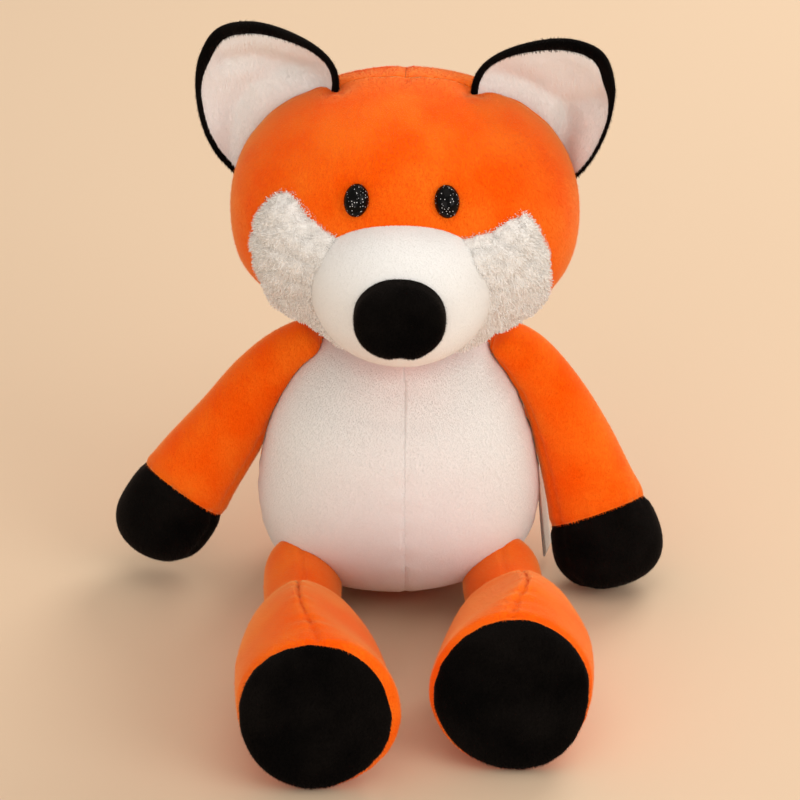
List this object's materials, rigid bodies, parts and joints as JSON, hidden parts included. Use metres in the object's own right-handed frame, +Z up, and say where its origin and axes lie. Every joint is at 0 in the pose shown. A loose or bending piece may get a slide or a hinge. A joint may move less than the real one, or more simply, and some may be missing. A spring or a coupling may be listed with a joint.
{
  "type": "plush_fox",
  "caption": "Sitting stuffed toy fox, about 31 cm tall: a big head that nods and turns, ears that flex, arms, legs and feet that swing on sewn seams, and a tail.",
  "frame": {"origin": "on the flat seat under the torso, below the neck", "axes": "+Z up, the toy faces -Y, +X is the toy's own left"},
  "size_m": [0.2766, 0.354, 0.316],
  "materials": {
    "orange_pile": "short plush pile",
    "white_pile": "short plush pile",
    "long_pile": "long curly pile",
    "black_pile": "short plush pile",
    "fibre_filling": "loose polyester fibre",
    "eye_plastic": "polished",
    "washer_plastic": "moulded",
    "label_ribbon": "satin ribbon"
  },
  "bodies": {
    "torso": {"belly_right": "white_pile", "belly_left": "white_pile", "back_right": "orange_pile", "back_left": "orange_pile", "seat_panel": "orange_pile", "torso_filling": "fibre_filling", "care_label": "label_ribbon"},
    "neck": {"neck_filling": "fibre_filling"},
    "head": {"face_panel": "orange_pile", "head_back_right": "orange_pile", "head_back_left": "orange_pile", "muzzle": "white_pile", "nose": "black_pile", "cheek_right": "long_pile", "cheek_left": "long_pile", "eye_right": "eye_plastic", "eye_left": "eye_plastic", "eye_washer_right": "washer_plastic", "eye_washer_left": "washer_plastic", "head_filling": "fibre_filling"},
    "ear_right": {"ear_right_back": "black_pile", "ear_right_lining": "white_pile"},
    "ear_left": {"ear_left_back": "black_pile", "ear_left_lining": "white_pile"},
    "arm_right": {"arm_right": "orange_pile", "paw_right": "black_pile", "arm_filling_right": "fibre_filling"},
    "arm_left": {"arm_left": "orange_pile", "paw_left": "black_pile", "arm_filling_left": "fibre_filling"},
    "leg_right": {"leg_right": "orange_pile", "leg_filling_right": "fibre_filling"},
    "leg_left": {"leg_left": "orange_pile", "leg_filling_left": "fibre_filling"},
    "foot_right": {"foot_right": "orange_pile", "sole_right": "black_pile", "foot_filling_right": "fibre_filling"},
    "foot_left": {"foot_left": "orange_pile", "sole_left": "black_pile", "foot_filling_left": "fibre_filling"},
    "tail": {"tail": "orange_pile", "tail_tip": "white_pile", "tail_filling": "fibre_filling"}
  },
  "joints": [
    {"name": "neck_turn", "type": "hinge", "parent": "torso", "child": "neck", "pos_m": [0, -0.002, 0.125], "axis": [0, 0, 1], "range_deg": [-30, 30], "stiffness_Nm_per_rad": 0.6},
    {"name": "neck_nod", "type": "hinge", "parent": "neck", "child": "head", "pos_m": [0, -0.002, 0.125], "axis": [-1, 0, 0], "range_deg": [-8, 15], "stiffness_Nm_per_rad": 1.2},
    {"name": "ear_flex_right", "type": "hinge", "parent": "head", "child": "ear_right", "pos_m": [-0.05918, 0.00155, 0.251], "axis": [0.6964, -0.0182, 0.7174], "range_deg": [-20, 20], "stiffness_Nm_per_rad": 0.05},
    {"name": "ear_flex_left", "type": "hinge", "parent": "head", "child": "ear_left", "pos_m": [0.05928, -0.00155, 0.251], "axis": [0.6964, -0.0182, -0.7174], "range_deg": [-20, 20], "stiffness_Nm_per_rad": 0.05},
    {"name": "shoulder_right", "type": "hinge", "parent": "torso", "child": "arm_right", "pos_m": [-0.05, -0.002, 0.124], "axis": [-0.809, 0, 0.5878], "range_deg": [-15, 80], "stiffness_Nm_per_rad": 0.15},
    {"name": "shoulder_left", "type": "hinge", "parent": "torso", "child": "arm_left", "pos_m": [0.05, -0.002, 0.124], "axis": [-0.809, 0, -0.5878], "range_deg": [-15, 25], "stiffness_Nm_per_rad": 0.15},
    {"name": "hip_right", "type": "hinge", "parent": "torso", "child": "leg_right", "pos_m": [-0.049, -0.04, 0.021], "axis": [1, 0, 0], "range_deg": [0, 90], "stiffness_Nm_per_rad": 0.2},
    {"name": "hip_left", "type": "hinge", "parent": "torso", "child": "leg_left", "pos_m": [0.0465, -0.04, 0.021], "axis": [1, 0, 0], "range_deg": [0, 90], "stiffness_Nm_per_rad": 0.2},
    {"name": "ankle_right", "type": "hinge", "parent": "leg_right", "child": "foot_right", "pos_m": [-0.047, -0.118, 0.022], "axis": [1, 0, 0], "range_deg": [-15, 25], "stiffness_Nm_per_rad": 0.2},
    {"name": "ankle_left", "type": "hinge", "parent": "leg_left", "child": "foot_left", "pos_m": [0.0525, -0.102, 0.022], "axis": [1, 0, 0], "range_deg": [-15, 25], "stiffness_Nm_per_rad": 0.2},
    {"name": "tail_lift", "type": "hinge", "parent": "torso", "child": "tail", "pos_m": [0, 0.056, 0.025], "axis": [1, 0, 0], "range_deg": [-30, 40], "stiffness_Nm_per_rad": 0.1}
  ]
}
